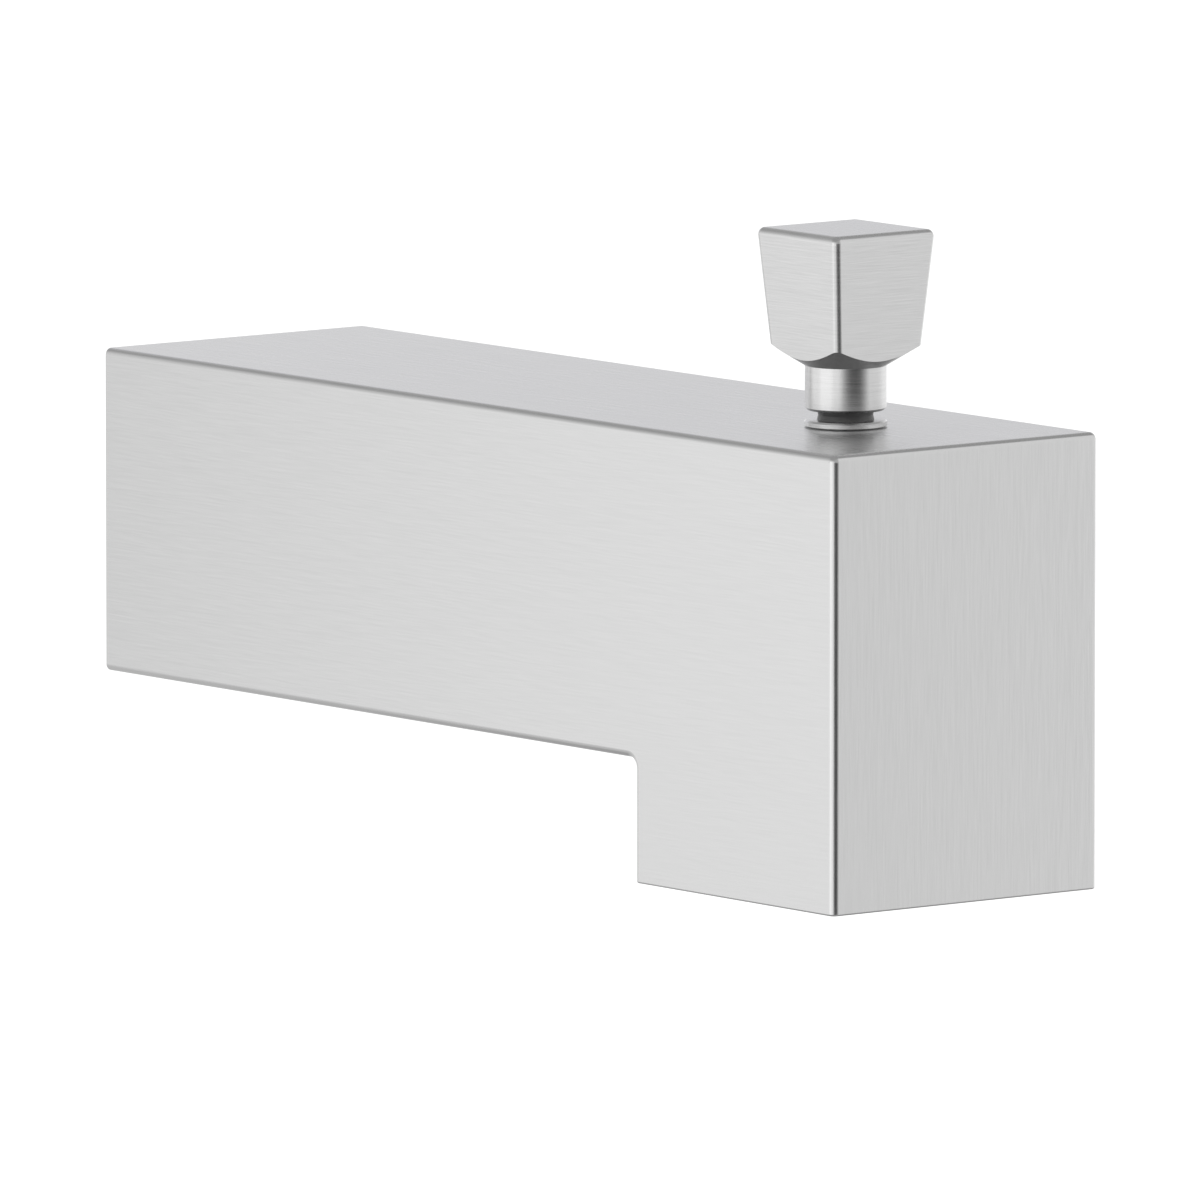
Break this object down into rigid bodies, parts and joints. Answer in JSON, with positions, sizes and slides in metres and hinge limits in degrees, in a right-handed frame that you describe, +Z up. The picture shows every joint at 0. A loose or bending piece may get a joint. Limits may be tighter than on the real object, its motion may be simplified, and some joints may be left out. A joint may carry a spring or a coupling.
{
  "type": "bath spout",
  "caption": "Square L-shaped wall bath spout with a dropped nose, a threaded rear inlet and a pull-up diverter knob that lifts a gate across the waterway.",
  "frame": {"origin": "centre of the inlet thread's mouth, on the wall plane", "axes": "+Y out of the inlet into the wall, so the spout reaches along -Y; +X across the spout; +Z up"},
  "size_m": [0.0508, 0.1809, 0.0991],
  "materials": {
    "brushed_nickel": "fine linear brushed plating",
    "brass": "machined",
    "turned_steel": "turned",
    "black_rubber": "moulded, satin",
    "red_fibre": "pressed fibre",
    "white_acetal": "moulded, satin"
  },
  "bodies": {
    "spout": {"spout_body": "brushed_nickel", "inlet_tube": "brass", "inlet_gasket": "red_fibre", "seat_seal": "black_rubber", "stem_bushing": "brushed_nickel", "bushing_washer": "red_fibre", "bushing_nut": "brass", "stem_seal": "black_rubber"},
    "diverter": {"diverter_knob": "brushed_nickel", "stem_bumper": "black_rubber", "diverter_stem": "turned_steel", "diverter_gate": "white_acetal"}
  },
  "joints": [
    {"name": "diverter_lift", "type": "slide", "parent": "spout", "child": "diverter", "axis": [0, 0, 1], "range_m": [0, 0.018]}
  ]
}
